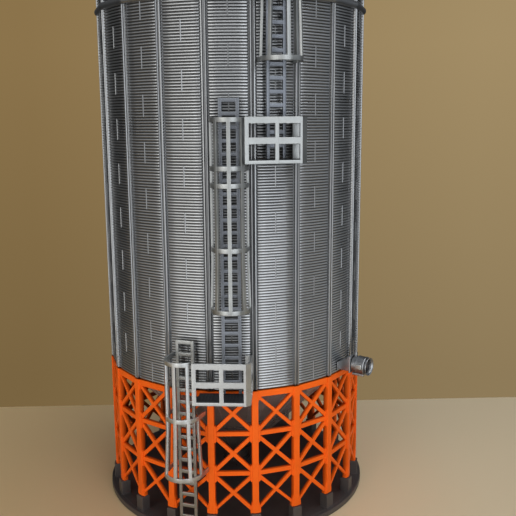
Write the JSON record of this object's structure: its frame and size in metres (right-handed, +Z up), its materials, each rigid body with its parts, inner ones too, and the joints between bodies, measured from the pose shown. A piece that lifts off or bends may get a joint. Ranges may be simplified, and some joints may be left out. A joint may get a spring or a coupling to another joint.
{
  "type": "scale model grain bin",
  "caption": "Printed scale model of a tall hopper-bottom grain bin with corrugated wall, braced leg ring, caged ladders, platforms and an aeration fan.",
  "frame": {"origin": "on the bin's axis, at the underside of the round base", "axes": "+Z up along the bin's axis; -Y is the side with the ladders and platforms; the fan is at the right, between +X and -Y"},
  "size_m": [0.1486, 0.1615, 0.3432],
  "materials": {
    "silver_plastic": "silk metallic filament, satin, with fine layer lines",
    "orange_plastic": "satin filament with fine layer lines",
    "slate_plastic": "matt to satin dark grey filament"
  },
  "bodies": {
    "root": {"base_plate": "slate_plastic", "fan_control_box": "silver_plastic", "fan_duct": "silver_plastic", "fan_housing": "silver_plastic", "fan_inlet_bell": "silver_plastic", "hopper_cone": "slate_plastic", "joint_band": "silver_plastic", "lower_ladder": "silver_plastic", "lower_ladder_cage": "silver_plastic", "lower_platform_deck": "slate_plastic", "lower_platform_railing": "silver_plastic", "middle_ladder": "silver_plastic", "middle_ladder_cage": "silver_plastic", "roof": "silver_plastic", "roof_cap": "silver_plastic", "roof_hatch": "silver_plastic", "support_frame_01": "orange_plastic", "support_frame_02": "orange_plastic", "support_frame_03": "orange_plastic", "support_frame_04": "orange_plastic", "support_frame_05": "orange_plastic", "support_frame_06": "orange_plastic", "support_frame_07": "orange_plastic", "support_frame_08": "orange_plastic", "support_frame_09": "orange_plastic", "support_frame_10": "orange_plastic", "upper_ladder": "silver_plastic", "upper_ladder_cage": "silver_plastic", "upper_platform_deck": "slate_plastic", "upper_platform_railing": "silver_plastic", "wall_segment_01": "silver_plastic", "wall_segment_02": "silver_plastic", "wall_segment_03": "silver_plastic", "wall_segment_04": "silver_plastic", "wall_segment_05": "silver_plastic", "wall_segment_06": "silver_plastic", "wall_segment_07": "silver_plastic", "wall_segment_08": "silver_plastic", "wall_segment_09": "silver_plastic", "wall_segment_10": "silver_plastic"}
  },
  "joints": []
}
